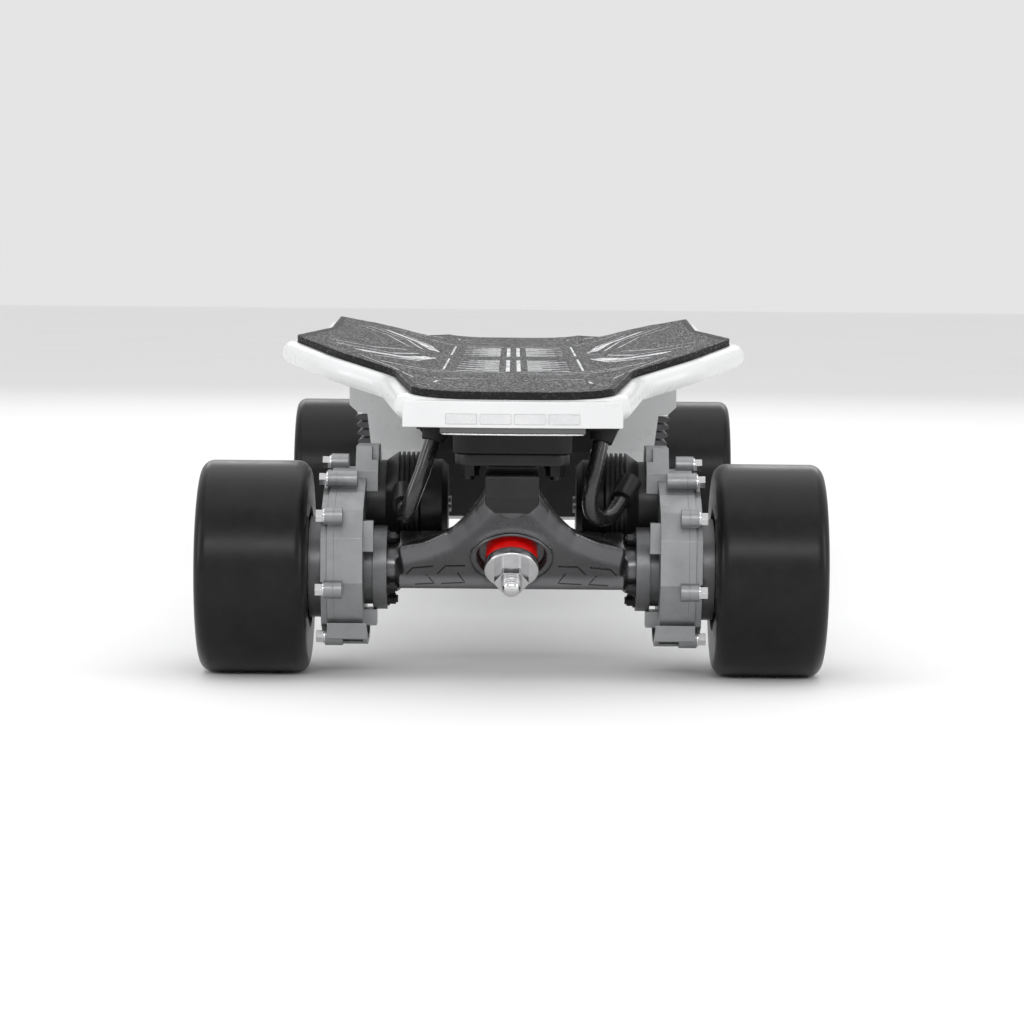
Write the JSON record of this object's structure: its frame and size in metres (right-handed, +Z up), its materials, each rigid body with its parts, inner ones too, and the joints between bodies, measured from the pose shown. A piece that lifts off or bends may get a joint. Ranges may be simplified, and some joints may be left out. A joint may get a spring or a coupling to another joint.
{
  "type": "electric skateboard",
  "caption": "Electric skateboard: rounded white deck on sprung trucks, wide black wheels, gear-drive motors at the tail and a battery box underneath.",
  "frame": {"origin": "on the ground under the middle of the board", "axes": "+Y towards the nose, +X to the right when facing the nose, +Z up"},
  "size_m": [0.307, 0.9408, 0.1662],
  "materials": {
    "white_shell": "satin white moulding",
    "grip_foam": "fine grit over foam",
    "black_rubber": "matt",
    "bright_steel": "bright plated",
    "black_steel": "black oxide",
    "ground_steel": "ground",
    "cell_wrap": "shrink sleeve",
    "board_laminate": "solder mask",
    "dark_alloy": "anodised",
    "grey_alloy": "bead blasted, anodised",
    "black_plastic": "fine texture",
    "lamp_lens": "frosted clear",
    "smoked_plastic": "gloss smoke",
    "black_casting": "semi-gloss",
    "hanger_coat": "semi-gloss gunmetal",
    "red_urethane": "semi-gloss",
    "motor_black": "satin",
    "copper_winding": "enamelled wire",
    "tyre_urethane": "satin",
    "hub_alloy": "anodised",
    "cable_sheath": "gloss"
  },
  "bodies": {
    "deck": {"deck_shell": "white_shell", "grip_pad": "grip_foam", "battery_enclosure": "white_shell", "enclosure_covers": "black_plastic", "enclosure_gasket": "black_rubber", "enclosure_screws": "bright_steel", "battery_cells": "cell_wrap", "circuit_boards": "board_laminate", "heat_sinks": "dark_alloy", "panel_fittings": "black_plastic", "light_bars": "white_shell", "light_lenses": "lamp_lens", "light_strips": "smoked_plastic", "riser_pads": "black_rubber", "rear_baseplate": "black_casting", "front_baseplate": "black_casting", "pivot_cups": "black_plastic", "kingpins": "bright_steel", "kingpin_nuts": "bright_steel", "kingpin_washers": "bright_steel", "rear_bushings": "red_urethane", "front_bushings": "red_urethane", "truck_fasteners": "black_steel", "cable_glands": "black_rubber", "left_motor_cable": "cable_sheath", "right_motor_cable": "cable_sheath"},
    "power_button": {"power_button": "bright_steel"},
    "charge_cover": {"charge_cover": "black_rubber"},
    "rear_hanger": {"rear_hanger": "hanger_coat", "rear_axle": "ground_steel", "rear_axle_nuts": "bright_steel", "gearbox_housings": "grey_alloy", "gearbox_covers": "grey_alloy", "gearbox_clamps": "grey_alloy", "gearbox_skids": "grey_alloy", "gearbox_bolts": "bright_steel", "clamp_bolts": "black_steel", "motor_cases": "motor_black", "motor_stators": "copper_winding"},
    "front_hanger": {"front_hanger": "hanger_coat", "front_axle": "ground_steel", "front_axle_nuts": "bright_steel"},
    "left_rotor": {"left_rotor": "ground_steel", "left_pinion": "ground_steel"},
    "right_rotor": {"right_rotor": "ground_steel", "right_pinion": "ground_steel"},
    "rear_left_wheel": {"rear_left_tyre": "tyre_urethane", "rear_left_hub": "hub_alloy", "rear_left_drive_gear": "ground_steel", "rear_left_bearings": "bright_steel"},
    "rear_right_wheel": {"rear_right_tyre": "tyre_urethane", "rear_right_hub": "hub_alloy", "rear_right_drive_gear": "ground_steel", "rear_right_bearings": "bright_steel"},
    "front_left_wheel": {"front_left_tyre": "tyre_urethane", "front_left_hub": "hub_alloy", "front_left_bearings": "bright_steel"},
    "front_right_wheel": {"front_right_tyre": "tyre_urethane", "front_right_hub": "hub_alloy", "front_right_bearings": "bright_steel"}
  },
  "joints": [
    {"name": "rear_steer", "type": "hinge", "parent": "deck", "child": "rear_hanger", "pos_m": [0, -0.39011, 0.06539], "axis": [0, -0.7071, 0.7071], "range_deg": [-10, 10], "stiffness_Nm_per_rad": 120, "deforming": ["rear_bushings", "left_motor_cable", "right_motor_cable"]},
    {"name": "front_steer", "type": "hinge", "parent": "deck", "child": "front_hanger", "pos_m": [0, 0.39011, 0.06539], "axis": [0, 0.7071, 0.7071], "range_deg": [-10, 10], "stiffness_Nm_per_rad": 120, "deforming": ["front_bushings"]},
    {"name": "rear_left_wheel_spin", "type": "hinge", "parent": "rear_hanger", "child": "rear_left_wheel", "pos_m": [0, -0.37, 0.0525], "axis": [1, 0, 0], "continuous": true},
    {"name": "rear_right_wheel_spin", "type": "hinge", "parent": "rear_hanger", "child": "rear_right_wheel", "pos_m": [0, -0.37, 0.0525], "axis": [1, 0, 0], "continuous": true},
    {"name": "front_left_wheel_spin", "type": "hinge", "parent": "front_hanger", "child": "front_left_wheel", "pos_m": [0, 0.37, 0.0525], "axis": [1, 0, 0], "continuous": true},
    {"name": "front_right_wheel_spin", "type": "hinge", "parent": "front_hanger", "child": "front_right_wheel", "pos_m": [0, 0.37, 0.0525], "axis": [1, 0, 0], "continuous": true},
    {"name": "left_rotor_spin", "type": "hinge", "parent": "rear_hanger", "child": "left_rotor", "pos_m": [0, -0.3403, 0.0822], "axis": [1, 0, 0], "continuous": true},
    {"name": "right_rotor_spin", "type": "hinge", "parent": "rear_hanger", "child": "right_rotor", "pos_m": [0, -0.3403, 0.0822], "axis": [1, 0, 0], "continuous": true},
    {"name": "power_press", "type": "slide", "parent": "deck", "child": "power_button", "axis": [-1, 0, 0], "range_m": [0, 0.0015], "stiffness_N_per_m": 600},
    {"name": "charge_cover_hinge", "type": "hinge", "parent": "deck", "child": "charge_cover", "pos_m": [0.083, 0.10938, 0.11867], "axis": [0, -1, -0.0052], "range_deg": [0, 110]}
  ],
  "couplings": [
    {"joint": "left_rotor_spin", "follows": "rear_left_wheel_spin", "ratio": -2.2941},
    {"joint": "right_rotor_spin", "follows": "rear_right_wheel_spin", "ratio": -2.2941}
  ]
}
